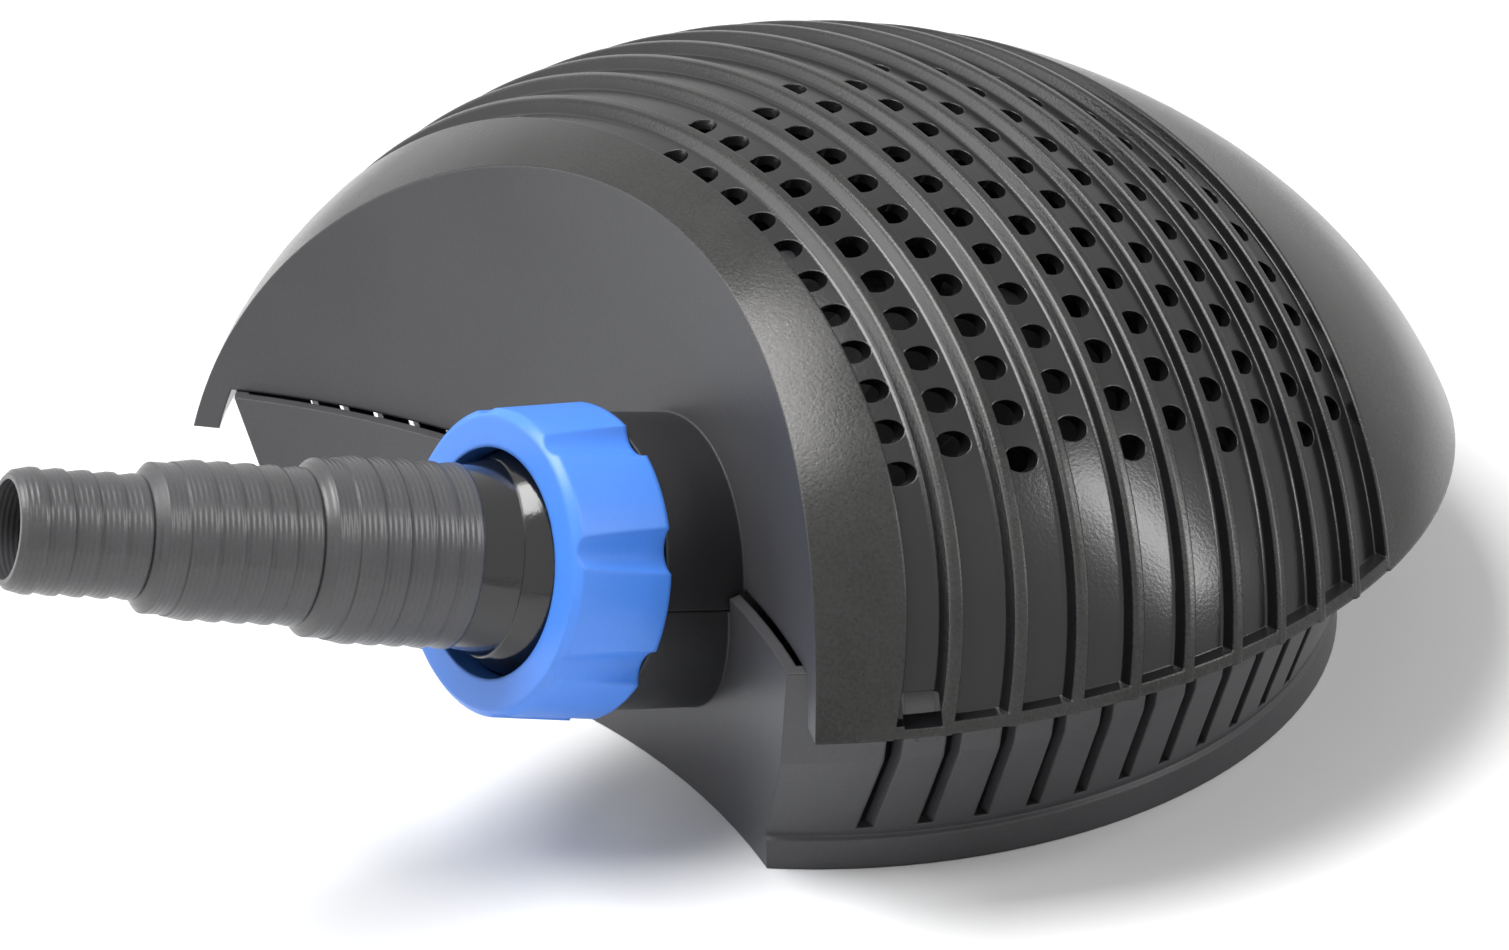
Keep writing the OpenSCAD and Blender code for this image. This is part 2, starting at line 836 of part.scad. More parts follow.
// Cradle under the motor, screwed to the floor plate
module motor_cradle() {
    color(front_color) difference() {
        union() {
            translate([cradle_x - cradle_w / 2, pump_y - cradle_l / 2, boss_top])
                cube([cradle_w, cradle_l, cradle_foot_t]);
            translate([cradle_x - strap_w / 2, pump_y - cradle_arm_y, boss_top])
                cube([strap_w, 2 * cradle_arm_y, pump_z - boss_top - cradle_arm_drop]);
        }
        cradle_bar(motor_r + cradle_gap, 2 * cradle_w);
        cradle_places() bar(screw_r, boss_top - over, boss_top + cradle_foot_t + over);
        strap_places() bar(screw_r, pump_z - cradle_arm_drop - strap_screw_l, pump_z);
    }
}

// Bar along the motor's axis at the cradle
module cradle_bar(r, length) {
    translate([cradle_x - length / 2, pump_y, pump_z]) rotate([0, 90, 0]) bar(r, 0, length);
}

// Places of the strap's two screws
module strap_places() {
    for (side = [-1, 1]) translate([cradle_x, pump_y + side * strap_hole_y, 0]) children();
}

// Rubber pad between the cradle and the motor
module cradle_pad() {
    color(rubber_color) difference() {
        cradle_bar(motor_r + cradle_gap, strap_w);
        cradle_bar(motor_r, 2 * strap_w);
        translate([cradle_x - cradle_w, pump_y - cradle_l, pump_z - cradle_arm_drop])
            cube([2 * cradle_w, 2 * cradle_l, cradle_l]);
    }
}

// Screws of the cradle and the strap
module cradle_screws() {
    ear = pump_z - cradle_arm_drop + strap_t;
    color(metal_color) {
        cradle_places() {
            bar(screw_r, low_floor_t + over, boss_top + cradle_foot_t);
            bar(screw_head_r, boss_top + cradle_foot_t, boss_top + cradle_foot_t + screw_head_h);
        }
        strap_places() {
            bar(screw_r, ear - strap_screw_l, ear);
            bar(screw_head_r, ear, ear + screw_head_h);
        }
    }
}

// Strap over the motor, its ears screwed to the cradle's arms
module motor_strap() {
    ear = pump_z - cradle_arm_drop;
    color(metal_color) difference() {
        union() {
            difference() {
                cradle_bar(motor_r + strap_t, strap_w);
                translate([cradle_x - cradle_w, pump_y - cradle_l, ear - 2 * cradle_l])
                    cube([2 * cradle_w, 2 * cradle_l, 2 * cradle_l]);
            }
            translate([cradle_x - strap_w / 2, pump_y - cradle_arm_y, ear])
                cube([strap_w, 2 * cradle_arm_y, strap_t]);
        }
        cradle_bar(motor_r, 2 * strap_w);
        strap_places() bar(screw_r, ear - over, ear + strap_t + over);
    }
}

// Cable gland in the lower shell's rear wall, with a bore for a cord
module cable_gland() {
    color(rubber_color) gland_frame() difference() {
        union() {
            bar(gland_r, 0, gland_l);
            bar(gland_head_r, gland_l, gland_l + gland_head_t);
        }
        bar(gland_bore_r, -over, gland_l + gland_head_t + over);
    }
}

lower_shell();
rubber_feet();
upper_shell();
union_nut();
slip_ring();
hose_tail();
outlet_spigot();
spigot_seal();
volute();
volute_cover();
cover_screws();
chamber_seal();
motor_can();
stator_core();
coil_windings();
can_lid();
bearing_plate();
front_bush();
rear_bush();
ceramic_shaft();
rotor_magnet();
thrust_washers();
impeller();
motor_cradle();
cradle_pad();
cradle_screws();
motor_strap();
cable_gland();
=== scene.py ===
import json
from math import asin, atan, atan2, cos, pi, radians, sin, sqrt, tan

import bmesh
import bpy
from mathutils import Matrix, Vector


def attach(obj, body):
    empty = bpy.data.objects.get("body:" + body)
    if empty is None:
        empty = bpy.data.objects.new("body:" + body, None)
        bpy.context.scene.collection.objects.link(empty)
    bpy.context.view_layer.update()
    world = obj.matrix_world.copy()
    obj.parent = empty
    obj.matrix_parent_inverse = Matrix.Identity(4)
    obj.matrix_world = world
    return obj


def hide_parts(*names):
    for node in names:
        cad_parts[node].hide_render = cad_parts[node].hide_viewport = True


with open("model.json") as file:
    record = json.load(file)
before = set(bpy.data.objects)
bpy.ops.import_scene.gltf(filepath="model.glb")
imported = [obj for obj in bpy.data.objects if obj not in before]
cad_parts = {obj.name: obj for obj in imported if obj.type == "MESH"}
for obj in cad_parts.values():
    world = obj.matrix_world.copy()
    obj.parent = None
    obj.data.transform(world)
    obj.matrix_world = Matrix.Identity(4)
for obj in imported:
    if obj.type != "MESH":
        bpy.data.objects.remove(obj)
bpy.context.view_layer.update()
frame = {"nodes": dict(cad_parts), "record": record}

MM = 0.001
NODES = frame["nodes"]

# Sizes of the cage, in millimetres, as in the part's source
DOME_W, DOME_L, DOME_H, DOME_Z = 316, 280, 111, 16
WALL, RIM_Z, SKIRT_H, SEAM = 2.6, 45, 9.5, 0.3
RIB_COUNT, RIB_PITCH, FIRST_PITCH, RIB_T = 9, 11.75, 8.3, 2.2
GROOVE_D, RIB_LEAN, FIRST_GROOVE = 3.2, radians(26), 73.5
CREST_ROUND, ROOT_ROUND = 0.75, 0.5
LIP_H, LIP_IN = 2.8, 0.4
FRONT_R, FRONT_X, FRONT_Y, FRONT_LEAN, FRONT_HALF_H = 230, 21, 68.5, radians(11.5), 127
WINDOW_W, WINDOW_H, WINDOW_UP = 7.4, 5.2, 1.6

# Strainer holes: their size, the wall left beside them, and where their rows start and end
HOLE_D, HOLE_PITCH, HOLE_WALL, HOLE_IN, HOLE_OUT = 6.2, 12.6, 0.9, 12, 6
HOLES_FROM, HOLES_TOP_LEFT, HOLES_TOP_RIGHT, HOLES_MOST = radians(35), radians(66), radians(90), 12

# Outlet, collar and tail
OUTLET_X, NUT_Y, NUT_Z, OUTLET_TILT = 40, 108.7, 65, radians(20)
BALL_BACK, NUT_L, NUT_GAP = 16, 22, 0.4
COLLAR_R, COLLAR_BORE, COLLAR_DEEP, BORE_BACK = 31, 27.4, 39.7, 60
TAIL_TURN, NECK_END = radians(12), 23

# Overrun of a cut, and the straight sides that stand for a circle
OVERRUN = 2
FAR_DOWN, FAR_UP = 300, 200
DOME_SIDES, HOLLOW_SIDES, LIP_SIDES, INSIDE_SIDES = 288, 144, 200, 96
FRONT_SIDES, PIPE_SIDES, NEAR_SIDES, HOLE_SIDES = 360, 128, 64, 20
FRONT_ARC_STEPS, REAR_ARC_STEPS = 20, 40

# How near a corner lies to a surface that it counts as part of
MERGE, FRONT_NEAR, BALL_NEAR, COLLAR_NEAR = 0.02, 0.05, 0.06, 0.6
CREST_DEPTH, COLLAR_AHEAD, FACING_WALL, SHARP_DEGREES = 0.9, 1, 0.95, 32

BALL_R = DOME_L / 2
STRETCH = (DOME_W / DOME_L, 1, 2 * DOME_H / DOME_L)
BALL_LEAN = atan(STRETCH[2] * tan(RIB_LEAN))
PARTING_Z = RIM_Z + SKIRT_H
RIM_RISE = RIM_Z - DOME_Z
HOLLOW_R = BALL_R - WALL - GROOVE_D
COLLAR_FRONT = BALL_BACK - NUT_L - NUT_GAP
JOINT = Vector((OUTLET_X, -NUT_Y + BALL_BACK * cos(OUTLET_TILT), NUT_Z - BALL_BACK * sin(OUTLET_TILT)))
FRONT_AXIS_Y = -FRONT_Y - FRONT_R + tan(FRONT_LEAN) * SKIRT_H
FRONT_PLACE = Vector((FRONT_X, FRONT_AXIS_Y, PARTING_Z))
FRONT_DIR = Vector((0, sin(FRONT_LEAN), cos(FRONT_LEAN)))

# The dome is a ball that STRETCHED turns into an ellipsoid; its ribs lie round RIB_AXIS
OUTLET = Matrix.Translation(JOINT) @ Matrix.Rotation(pi / 2 - OUTLET_TILT, 4, "X")
TAIL = OUTLET @ Matrix.Rotation(-TAIL_TURN, 4, "Y")
STRETCHED = Matrix.Translation((0, 0, DOME_Z)) @ Matrix.Diagonal((*STRETCH, 1))
TO_BALL = STRETCHED.inverted()
RIB_AXIS = Matrix.Rotation(-pi / 2 - BALL_LEAN, 4, "X")
TAIL_AXIS = (TAIL.to_3x3() @ Vector((0, 0, 1))).normalized()
OUTLET_AXIS = (OUTLET.to_3x3() @ Vector((0, 0, 1))).normalized()


def chord(r, t):
    """Radius of a ball's slice at the distance t from its middle."""
    return sqrt(max(0.0, r * r - t * t))


def rib_place(i):
    """Distance along the ribs' axis of rib i; 0 and RIB_COUNT + 1 are the ends of the ribbed part."""
    y = -FIRST_GROOVE + (0 if i == 0 else FIRST_PITCH + RIB_PITCH * (i - 1))
    return (y - tan(RIB_LEAN) * RIM_RISE) * cos(BALL_LEAN)


def groove_ends(i):
    """Front and rear end of the groove behind rib i."""
    front = rib_place(i) + (0 if i == 0 else RIB_T / 2)
    rear = rib_place(i + 1) - (0 if i == RIB_COUNT else RIB_T / 2)
    return front, rear


# Shapes, built in millimetres and stored in metres
def solid(name, verts, faces, matrix=Matrix.Identity(4)):
    mesh = bpy.data.meshes.new(name)
    mesh.from_pydata([matrix @ Vector(v) * MM for v in verts], [], faces)
    mesh.update()
    obj = bpy.data.objects.new(name, mesh)
    bpy.context.scene.collection.objects.link(obj)
    return obj


def lathe(name, points, count, matrix=Matrix.Identity(4)):
    """Closed solid from an outline of (radius, height), which starts and ends on the axis."""
    verts, rings = [], []
    for r, h in points:
        if r < 1e-6:
            rings.append([len(verts)])
            verts.append((0, 0, h))
        else:
            rings.append([len(verts) + k for k in range(count)])
            turns = [2 * pi * k / count for k in range(count)]
            verts += [(r * cos(turn), r * sin(turn), h) for turn in turns]
    faces = []
    for a, b in zip(rings, rings[1:]):
        for k in range(count):
            n = (k + 1) % count
            ring = [a[k % len(a)], a[n % len(a)], b[n % len(b)], b[k % len(b)]]
            face = [v for j, v in enumerate(ring) if v not in ring[:j]]
            if len(face) > 2:
                faces.append(face)
    return solid(name, verts, faces, matrix)


def bar(name, r, a, b, count, matrix=Matrix.Identity(4)):
    return lathe(name, [(0, a), (r, a), (r, b), (0, b)], count, matrix)


def ball(name, r, count, matrix=Matrix.Identity(4)):
    half = count // 2
    points = [(r * sin(pi * k / half), -r * cos(pi * k / half)) for k in range(half + 1)]
    points[0], points[-1] = (0, -r), (0, r)
    return lathe(name, points, count, matrix)


def hollow():
    """Space inside the dome's wall."""
    return ball("hollow", HOLLOW_R, HOLLOW_SIDES, STRETCHED)


def block(name, low, high, matrix=Matrix.Identity(4)):
    verts = [(x, y, z) for x in (low[0], high[0]) for y in (low[1], high[1]) for z in (low[2], high[2])]
    faces = [(0, 1, 3, 2), (4, 6, 7, 5), (0, 4, 5, 1), (2, 3, 7, 6), (0, 2, 6, 4), (1, 5, 7, 3)]
    return solid(name, verts, faces, matrix)


def combine(base, operation, *tools):
    """Applies one boolean with each tool in turn and deletes the tools."""
    for tool in tools:
        mod = base.modifiers.new("cut", "BOOLEAN")
        mod.operation, mod.solver, mod.object = operation, "MANIFOLD", tool
    bpy.context.view_layer.update()
    old = base.data
    mesh = bpy.data.meshes.new_from_object(base.evaluated_get(bpy.context.evaluated_depsgraph_get()))
    base.modifiers.clear()
    base.data = mesh
    bpy.data.meshes.remove(old)
    for tool in tools:
        bpy.data.objects.remove(tool)
    return base


def joined(name, objs):
    """One object from several separate solids."""
    verts, faces = [], []
    for o in objs:
        first = len(verts)
        verts += [v.co / MM for v in o.data.vertices]
        faces += [[first + v for v in p.vertices] for p in o.data.polygons]
        bpy.data.objects.remove(o)
    return solid(name, verts, faces)


# Upper shell
def groove_corner():
    """Rounded crest and root at one end of a groove, as (radius, distance into the groove)."""
    deep, crest, root = BALL_R - GROOVE_D, CREST_ROUND, ROOT_ROUND
    crest_shares = ((0, -1), (0.07, -0.6), (0.3, -0.28), (0.65, -0.06), (1, 0))
    root_shares = ((1, 0), (0.3, 0.3), (0, 1))
    corner = [(BALL_R - down * crest, along * crest) for down, along in crest_shares]
    return corner + [(deep + up * root, along * root) for up, along in root_shares]


def ribbed_outline():
    """Outline of the ribbed ball from pole to pole, with rounded ribs and groove floors."""
    deep = BALL_R - GROOVE_D
    corner = groove_corner()
    outline = []

    def arc(t0, t1, steps):
        a0, a1 = asin(t0 / BALL_R), asin(t1 / BALL_R)
        for k in range(steps + 1):
            a = a0 + (a1 - a0) * k / steps
            outline.append((max(0.0, BALL_R * cos(a)), BALL_R * sin(a)))

    arc(-BALL_R, rib_place(0) - CREST_ROUND, FRONT_ARC_STEPS)
    for i in range(RIB_COUNT + 1):
        a, b = groove_ends(i)
        outline.extend((chord(r, a + t), a + t) for r, t in corner[1 if i == 0 else 0:])
        outline.append((chord(deep, (a + b) / 2), (a + b) / 2))
        outline.extend((chord(r, b - t), b - t) for r, t in reversed(corner[1 if i == RIB_COUNT else 0:]))
    arc(rib_place(RIB_COUNT + 1) + CREST_ROUND, BALL_R, REAR_ARC_STEPS)
    return outline


def strainer_holes():
    """Round holes along each groove, square to the dome, on both sides."""
    holes = []
    step = HOLE_PITCH / BALL_R
    for i in range(RIB_COUNT + 1):
        front, rear = groove_ends(i)
        t = (front + rear) / 2
        r = chord(BALL_R, t)
        wide = min(HOLE_D, rear - front - HOLE_WALL)
        for k in range(HOLES_MOST):
            rise = HOLES_FROM + step * (k + (i % 2) / 2)
            for side, top in ((-1, HOLES_TOP_LEFT), (1, HOLES_TOP_RIGHT)):
                if rise > top:
                    continue
                out = Vector((side * cos(rise), -sin(rise), 0))
                aim = out.to_track_quat("Z", "Y").to_matrix().to_4x4()
                place = Matrix.Translation((out.x * r, out.y * r, t)) @ aim
                place = STRETCHED @ RIB_AXIS @ place
                holes.append(bar("hole", wide / 2, -HOLE_IN, HOLE_OUT, HOLE_SIDES, place))
    return joined("holes", holes)


def front_space(grow):
    """Cylinder in front of the hollow front wall."""
    place = Matrix.Translation(FRONT_PLACE) @ Matrix.Rotation(-FRONT_LEAN, 4, "X")
    return bar("front_space", FRONT_R + grow, -FRONT_HALF_H, FRONT_HALF_H, FRONT_SIDES, place)


def below_seam():
    """Space under the parting height, and under the outlet's axis at the collar."""
    big = 2 * DOME_L
    rear_y = -FRONT_Y + 3 * WALL
    column = ((OUTLET_X - COLLAR_R, -NUT_Y, -OVERRUN), (OUTLET_X + COLLAR_R, rear_y, DOME_H + DOME_Z))
    low = block("low", (-big, -big, -OVERRUN), (big, big, PARTING_Z))
    under = block("under", (-big, -big, -big), (big, 0, big), OUTLET)
    combine(under, "INTERSECT", block("keep", *column))
    combine(low, "DIFFERENCE", block("strip", *column))
    return combine(low, "UNION", under)


def window(side):
    """Space of the window that the latch tongue shows in, square to the dome's wall."""
    y = -FIRST_GROOVE + FIRST_PITCH / 2 + tan(RIB_LEAN) * WINDOW_UP
    h = (RIM_RISE + WINDOW_UP) / DOME_H
    x = DOME_W / 2 * sqrt(1 - h * h - (y / BALL_R) ** 2)
    turn = atan2(y / BALL_R ** 2, x / (DOME_W / 2) ** 2)
    place = Matrix.Translation((side * x, y, 0)) @ Matrix.Rotation(turn if side > 0 else pi - turn, 4, "Z")
    deep = GROOVE_D + WALL
    z = RIM_Z + WINDOW_UP
    return block("window", (-2 * deep, -WINDOW_W / 2, z), (deep, WINDOW_W / 2, z + WINDOW_H), place)


def rim_lip(rim):
    """Band round the foot of the ribs."""
    lip = ball("lip", BALL_R - LIP_IN, LIP_SIDES, STRETCHED)
    slab = block("slab", (-DOME_W, -DOME_W, rim), (DOME_W, DOME_W, rim + LIP_H), STRETCHED)
    combine(lip, "INTERSECT", slab)
    return combine(lip, "DIFFERENCE", hollow())


def front_plate():
    """Hollow front wall."""
    plate = ball("plate", HOLLOW_R + WALL / 2, HOLLOW_SIDES, STRETCHED)
    above_rim = block("up", (-DOME_W, -DOME_L, RIM_Z), (DOME_W, 0, FAR_UP))
    combine(plate, "INTERSECT", front_space(WALL), above_rim)
    return combine(plate, "DIFFERENCE", front_space(0))


def outlet_collar():
    """Round collar in front of the wall."""
    inside = ball("inside", BALL_R, INSIDE_SIDES, STRETCHED)
    combine(inside, "DIFFERENCE", front_space(WALL / 2))
    collar = bar("collar", COLLAR_R, -COLLAR_DEEP, COLLAR_FRONT, PIPE_SIDES, OUTLET)
    return combine(collar, "DIFFERENCE", inside)


def merge_slivers(obj):
    clean = bmesh.new()
    clean.from_mesh(obj.data)
    bmesh.ops.remove_doubles(clean, verts=clean.verts, dist=MERGE * MM)
    bmesh.ops.dissolve_degenerate(clean, edges=clean.edges, dist=MERGE * MM)
    clean.to_mesh(obj.data)
    clean.free()


def upper_shell():
    rim = RIM_RISE / STRETCH[2]
    shell = lathe("cage_shell", ribbed_outline(), DOME_SIDES, STRETCHED @ RIB_AXIS)
    under = block("under", (-DOME_W, -DOME_W, rim - FAR_DOWN), (DOME_W, DOME_W, rim), STRETCHED)
    combine(shell, "DIFFERENCE", under, hollow(), strainer_holes())
    combine(shell, "UNION", rim_lip(rim))
    combine(shell, "DIFFERENCE", front_space(0))
    combine(shell, "UNION", front_plate())
    combine(shell, "UNION", outlet_collar())
    seam = combine(below_seam(), "INTERSECT", hollow())
    near = bar("near", COLLAR_R + OVERRUN, -COLLAR_DEEP, COLLAR_FRONT + OVERRUN, NEAR_SIDES, OUTLET)
    half = combine(below_seam(), "INTERSECT", near)
    bore = bar("bore", COLLAR_BORE + SEAM, -BORE_BACK, BALL_BACK, PIPE_SIDES, OUTLET)
    combine(shell, "DIFFERENCE", seam, half, bore, window(-1), window(1))
    merge_slivers(shell)
    return shell


shell = upper_shell()
shell.name = "cage_shell"

# Scales, shares and ranges of the procedural surfaces
CLOUD_SCALE, CLOUD_DETAIL, GRAIN_DETAIL = 28, 4, 2
CLOUD_SHARE, GRAIN_SHARE, GLOSS_RANGE = 0.6, 0.4, 0.035
SPOT_SCALE, SPOT_DETAIL, SPOT_RANGE = 2600, 1, (0.55, 0.75)
COAT_ROUGH, EDGE_SAMPLES, RING_DRIFT = 0.12, 6, 0.8


def new_material(name):
    mat = bpy.data.materials.new(name)
    mat.use_nodes = True
    tree = mat.node_tree
    shader = next(n for n in tree.nodes if n.type == "BSDF_PRINCIPLED")
    return mat, tree, shader


def math_node(tree, operation, a, b=None):
    node = tree.nodes.new("ShaderNodeMath")
    node.operation = operation
    for k, value in enumerate((a, b)):
        if value is None:
            continue
        if isinstance(value, (int, float)):
            node.inputs[k].default_value = value
        else:
            tree.links.new(value, node.inputs[k])
    return node.outputs[0]


def noise(tree, coords, scale, detail):
    node = tree.nodes.new("ShaderNodeTexNoise")
    node.inputs["Scale"].default_value = scale
    node.inputs["Detail"].default_value = detail
    tree.links.new(coords, node.inputs["Vector"])
    return node.outputs["Fac"]


def spread(tree, value, low, high, src=(0.3, 0.7)):
    node = tree.nodes.new("ShaderNodeMapRange")
    node.inputs["From Min"].default_value, node.inputs["From Max"].default_value = src
    node.inputs["To Min"].default_value, node.inputs["To Max"].default_value = low, high
    tree.links.new(value, node.inputs["Value"])
    return node.outputs["Result"]


def bump(tree, height, distance, normal=None):
    node = tree.nodes.new("ShaderNodeBump")
    node.inputs["Distance"].default_value = distance
    node.inputs["Strength"].default_value = 1
    tree.links.new(height, node.inputs["Height"])
    if normal is not None:
        tree.links.new(normal, node.inputs["Normal"])
    return node.outputs["Normal"]


def ring_wave(tree, coords, clouds, axis, pitch):
    """Fine rings square to an axis, a little uneven."""
    dot = tree.nodes.new("ShaderNodeVectorMath")
    dot.operation = "DOT_PRODUCT"
    tree.links.new(coords, dot.inputs[0])
    dot.inputs[1].default_value = axis
    turns = math_node(tree, "MULTIPLY", dot.outputs["Value"], 2 * pi / pitch)
    drift = math_node(tree, "MULTIPLY", clouds, RING_DRIFT)
    return math_node(tree, "SINE", math_node(tree, "ADD", turns, drift))


def surface(name, low, high, rough, grain=1400, grain_deep=0.00003, metallic=0.0, round_edge=0.0, rings=None,
            sheen_spots=0.0, coat=0.0):
    """Procedural surface: colour from low to high in soft clouds, a fine moulded grain, and rounded edges."""
    mat, tree, shader = new_material(name)
    coords = tree.nodes.new("ShaderNodeTexCoord").outputs["Object"]
    clouds = noise(tree, coords, CLOUD_SCALE, CLOUD_DETAIL)
    fine = noise(tree, coords, grain, GRAIN_DETAIL)
    ramp = tree.nodes.new("ShaderNodeMix")
    ramp.data_type = "RGBA"
    ramp.inputs[6].default_value = (*low, 1)
    ramp.inputs[7].default_value = (*high, 1)
    cloud_tone = math_node(tree, "MULTIPLY", clouds, CLOUD_SHARE)
    grain_tone = math_node(tree, "MULTIPLY", fine, GRAIN_SHARE)
    tone = math_node(tree, "ADD", cloud_tone, grain_tone)
    tree.links.new(spread(tree, tone, 0, 1), ramp.inputs[0])
    tree.links.new(ramp.outputs[2], shader.inputs["Base Color"])
    gloss = spread(tree, clouds, rough - GLOSS_RANGE, rough + GLOSS_RANGE)
    if sheen_spots:
        spots = spread(tree, noise(tree, coords, SPOT_SCALE, SPOT_DETAIL), 0, -sheen_spots, SPOT_RANGE)
        gloss = math_node(tree, "ADD", gloss, spots)
    tree.links.new(gloss, shader.inputs["Roughness"])
    shader.inputs["Metallic"].default_value = metallic
    shader.inputs["Coat Weight"].default_value = coat
    shader.inputs["Coat Roughness"].default_value = COAT_ROUGH
    normal = None
    if round_edge:
        edge = tree.nodes.new("ShaderNodeBevel")
        edge.samples = EDGE_SAMPLES
        edge.inputs["Radius"].default_value = round_edge
        normal = edge.outputs["Normal"]
    if rings:
        axis, pitch, deep = rings
        normal = bump(tree, ring_wave(tree, coords, clouds, axis, pitch), deep, normal)
    tree.links.new(bump(tree, fine, grain_deep, normal), shader.inputs["Normal"])
    return mat


# One finish for each slot of the record, and four more for parts of a piece
LOOKS = {
    "crest": surface("satin_crest", (0.02, 0.0195, 0.019), (0.05, 0.049, 0.048), 0.27,
                     round_edge=0.0007, sheen_spots=0.13, metallic=0.6),
    "groove": surface("gloss_groove", (0.004, 0.004, 0.0045), (0.008, 0.008, 0.009), 0.22, round_edge=0.0004),
    "front_wall": surface("front_wall", (0.036, 0.036, 0.039), (0.05, 0.05, 0.054), 0.42, round_edge=0.0008),
    "base_grey": surface("base_grey", (0.034, 0.034, 0.037), (0.052, 0.052, 0.056), 0.42, round_edge=0.0007),
    # collar: a darker tone than the front wall, painted shade round the nut
    "collar": surface("collar", (0.008, 0.008, 0.009), (0.014, 0.014, 0.016), 0.46, round_edge=0.0008),
    "nut_blue": surface("nut_blue", (0.062, 0.235, 0.8), (0.075, 0.262, 0.86), 0.34,
                        grain_deep=0.00001, round_edge=0.0014),
    "tail_black": surface("tail_black", (0.046, 0.046, 0.048), (0.07, 0.07, 0.074), 0.33,
                          round_edge=0.0005, rings=(TAIL_AXIS, 0.0011, 0.00003)),
    "tail_gloss": surface("tail_gloss", (0.005, 0.005, 0.0055), (0.008, 0.008, 0.009), 0.14,
                          round_edge=0.0005, coat=0.3),
    "pump_grey": surface("pump_grey", (0.03, 0.03, 0.033), (0.045, 0.045, 0.05), 0.42, round_edge=0.0005),
    "motor_black": surface("motor_black", (0.012, 0.012, 0.013), (0.02, 0.02, 0.022), 0.3, round_edge=0.0005),
    "impeller_white": surface("impeller_white", (0.5, 0.51, 0.53), (0.62, 0.63, 0.65), 0.4),
    "rubber_black": surface("rubber_black", (0.014, 0.014, 0.014), (0.024, 0.024, 0.024), 0.72,
                            grain=900, grain_deep=0.00006),
    "steel": surface("steel", (0.5, 0.51, 0.53), (0.62, 0.63, 0.65), 0.28, metallic=1.0, grain_deep=0.00001),
    "lamination": surface("lamination", (0.2, 0.2, 0.21), (0.3, 0.3, 0.31), 0.42,
                          metallic=1.0, rings=((1, 0, 0), 0.001, 0.00008)),
    "copper": surface("copper", (0.5, 0.2, 0.09), (0.64, 0.29, 0.15), 0.3,
                      metallic=1.0, rings=((0, 0, 1), 0.0012, 0.0002)),
    "ceramic": surface("ceramic", (0.72, 0.71, 0.68), (0.8, 0.79, 0.76), 0.22),
    "ferrite": surface("ferrite", (0.06, 0.06, 0.062), (0.1, 0.1, 0.104), 0.55, metallic=0.4),
}
LOOKS["shell_black"] = LOOKS["groove"]
SHELL_LOOKS = ("crest", "groove", "front_wall", "collar")

for row in frame["record"]["subparts"]:
    piece = NODES[row["node"]]
    piece.data.materials.clear()
    piece.data.materials.append(LOOKS[row["material_slot"]])

# The tail's ball and neck are polished, and its barbed steps are turned
tail = NODES["hose_tail"]
tail.data.materials.append(LOOKS["tail_gloss"])
for poly in tail.data.polygons:
    reach = tail.matrix_world @ poly.center - JOINT * MM
    if reach.dot(TAIL_AXIS) < NECK_END * MM:
        poly.material_index = 1

# The lower half of the collar gets the same painted shade as the upper half, a darker tone round the nut
lower = NODES["lower_shell"]
lower.data.materials.append(LOOKS["collar"])
for poly in lower.data.polygons:
    reach = lower.matrix_world @ poly.center - JOINT * MM
    along = reach.dot(OUTLET_AXIS)
    off_collar = abs((reach - OUTLET_AXIS * along).length - COLLAR_R * MM)
    if off_collar < COLLAR_NEAR * MM and along > -COLLAR_DEEP * MM:
        poly.material_index = 1


def from_front_axis(point):
    """Way from the front cylinder's axis to a point."""
    away = point - FRONT_PLACE
    return away - FRONT_DIR * away.dot(FRONT_DIR)


def true_surface(corner):
    """(kind, true normal) of a corner on the front wall, a crest or a groove floor, or (None, None)."""
    away = from_front_axis(corner)
    if abs(away.length - FRONT_R) < FRONT_NEAR:
        return "front", -away.normalized()
    local = TO_BALL @ corner
    normal = Vector([local[k] / STRETCH[k] for k in range(3)]).normalized()
    if abs(local.length - BALL_R) < BALL_NEAR:
        return "crest", normal
    if abs(local.length - (BALL_R - GROOVE_D)) < BALL_NEAR:
        return "floor", normal
    return None, None


def look_of(poly):
    """Finish of one face of the upper shell, from where it lies."""
    centre = poly.center / MM
    away = from_front_axis(centre)
    # Faces of the collar take the painted shade round the nut
    if away.length < FRONT_R - COLLAR_AHEAD:
        return "collar"
    if away.length < FRONT_R + FRONT_NEAR and poly.normal.dot(away.normalized()) < -FACING_WALL:
        return "front_wall"
    return "crest" if (TO_BALL @ centre).length > BALL_R - CREST_DEPTH else "groove"


def dress_shell():
    """Materials by kind of surface, and true normals where the booleans left slivers."""
    mesh = shell.data
    mesh.materials.clear()
    for look in SHELL_LOOKS:
        mesh.materials.append(LOOKS[look])
    mesh.shade_smooth()
    mesh.set_sharp_from_angle(angle=radians(SHARP_DEGREES))
    mesh.update()
    normals = [Vector(n.vector) for n in mesh.corner_normals]
    known = [true_surface(v.co / MM) for v in mesh.vertices]
    for poly in mesh.polygons:
        poly.material_index = SHELL_LOOKS.index(look_of(poly))
        kinds = {known[v][0] for v in poly.vertices}
        if len(kinds) == 1 and None not in kinds:
            for loop in poly.loop_indices:
                normals[loop] = known[mesh.loops[loop].vertex_index][1]
    mesh.normals_split_custom_set(normals)


dress_shell()
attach(shell, "cover")
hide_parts("upper_shell")

# Floor
FLOOR_HALF, FLOOR_DROP = 3000, 0.0002
FLOOR_COLOUR, FLOOR_ROUGH, FLOOR_SPECULAR, FLOOR_CLOUDS = (0.92, 0.92, 0.92, 1), (0.9, 0.94), 0.1, 3

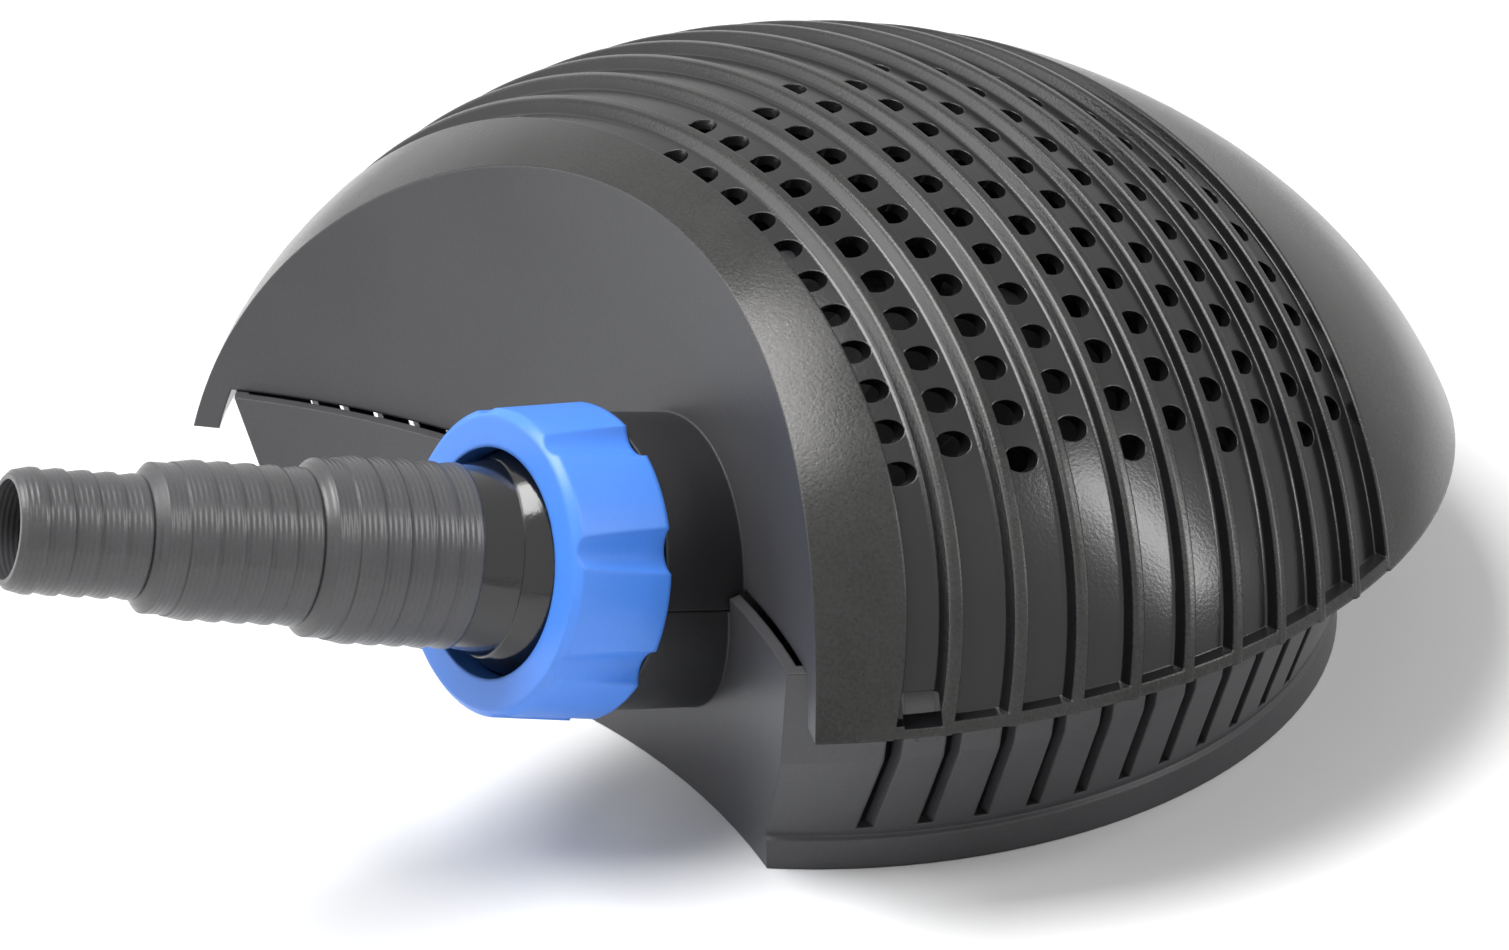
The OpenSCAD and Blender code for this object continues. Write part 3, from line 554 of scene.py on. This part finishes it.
corners = [(-1, -1), (1, -1), (1, 1), (-1, 1)]
floor = solid("floor", [(x * FLOOR_HALF, y * FLOOR_HALF, 0) for x, y in corners], [(0, 1, 2, 3)])
floor.location.z = -FLOOR_DROP
floor_mat, floor_tree, floor_shader = new_material("floor_white")
floor_coords = floor_tree.nodes.new("ShaderNodeTexCoord").outputs["Object"]
floor_gloss = spread(floor_tree, noise(floor_tree, floor_coords, FLOOR_CLOUDS, 2), *FLOOR_ROUGH)
floor_tree.links.new(floor_gloss, floor_shader.inputs["Roughness"])
floor_shader.inputs["Base Color"].default_value = FLOOR_COLOUR
floor_shader.inputs["Specular IOR Level"].default_value = FLOOR_SPECULAR
floor.data.materials.append(floor_mat)

# Sky: white where it is seen, mirrored or looked through, and softer as a light
SKY_STRENGTH, SEEN_STRENGTH = 0.3, 1.0

world = bpy.data.worlds.new("studio")
bpy.context.scene.world = world
world.use_nodes = True
sky_tree = world.node_tree
background = next(n for n in sky_tree.nodes if n.type == "BACKGROUND")
path = sky_tree.nodes.new("ShaderNodeLightPath")
seen = math_node(sky_tree, "MAXIMUM", path.outputs["Is Camera Ray"], path.outputs["Is Transmission Ray"])
seen = math_node(sky_tree, "MAXIMUM", seen, path.outputs["Is Glossy Ray"])
strength = spread(sky_tree, seen, SKY_STRENGTH, SEEN_STRENGTH, (0, 1))
sky_tree.links.new(strength, background.inputs["Strength"])
background.inputs["Color"].default_value = (1, 1, 1, 1)


def softbox(name, place, aim, size, power, size_y=None):
    light = bpy.data.lights.new(name, "AREA")
    light.shape = "RECTANGLE"
    light.size, light.size_y, light.energy = size, size_y or size, power
    obj = bpy.data.objects.new(name, light)
    bpy.context.scene.collection.objects.link(obj)
    obj.location = place
    obj.rotation_euler = (Vector(aim) - Vector(place)).to_track_quat("-Z", "Y").to_euler()


softbox("key_box", (-0.25, -0.45, 1.4), (0.05, -0.05, 0.08), 0.85, 24)
softbox("left_box", (-0.9, -1.2, 0.9), (0, -0.05, 0.05), 0.9, 9)
softbox("strip_box", (1.05, 0.56, 0.98), (0.1, 0, 0.05), 0.22, 9, 0.9)

# Camera, fitted to the photograph: its place in metres and the directions of its axes
EYE_PLACE = (0.7344, -0.5024, 0.4715)
EYE_RIGHT, EYE_UP, EYE_BACK = (0.5868, 0.8047, -0.0895), (-0.3116, 0.3265, 0.8924), (0.7474, -0.4958, 0.4423)

camera = bpy.data.cameras.new("camera")
camera.sensor_width, camera.lens = 36, 104.97
camera.clip_start, camera.clip_end = 0.05, 20
eye = bpy.data.objects.new("camera", camera)
bpy.context.scene.collection.objects.link(eye)
eye_turn = Matrix((EYE_RIGHT, EYE_UP, EYE_BACK)).transposed().to_4x4()
eye.matrix_world = Matrix.Translation(EYE_PLACE) @ eye_turn
bpy.context.scene.camera = eye
bpy.context.scene.render.resolution_x, bpy.context.scene.render.resolution_y = 1509, 950
bpy.context.scene.view_settings.view_transform = "Standard"
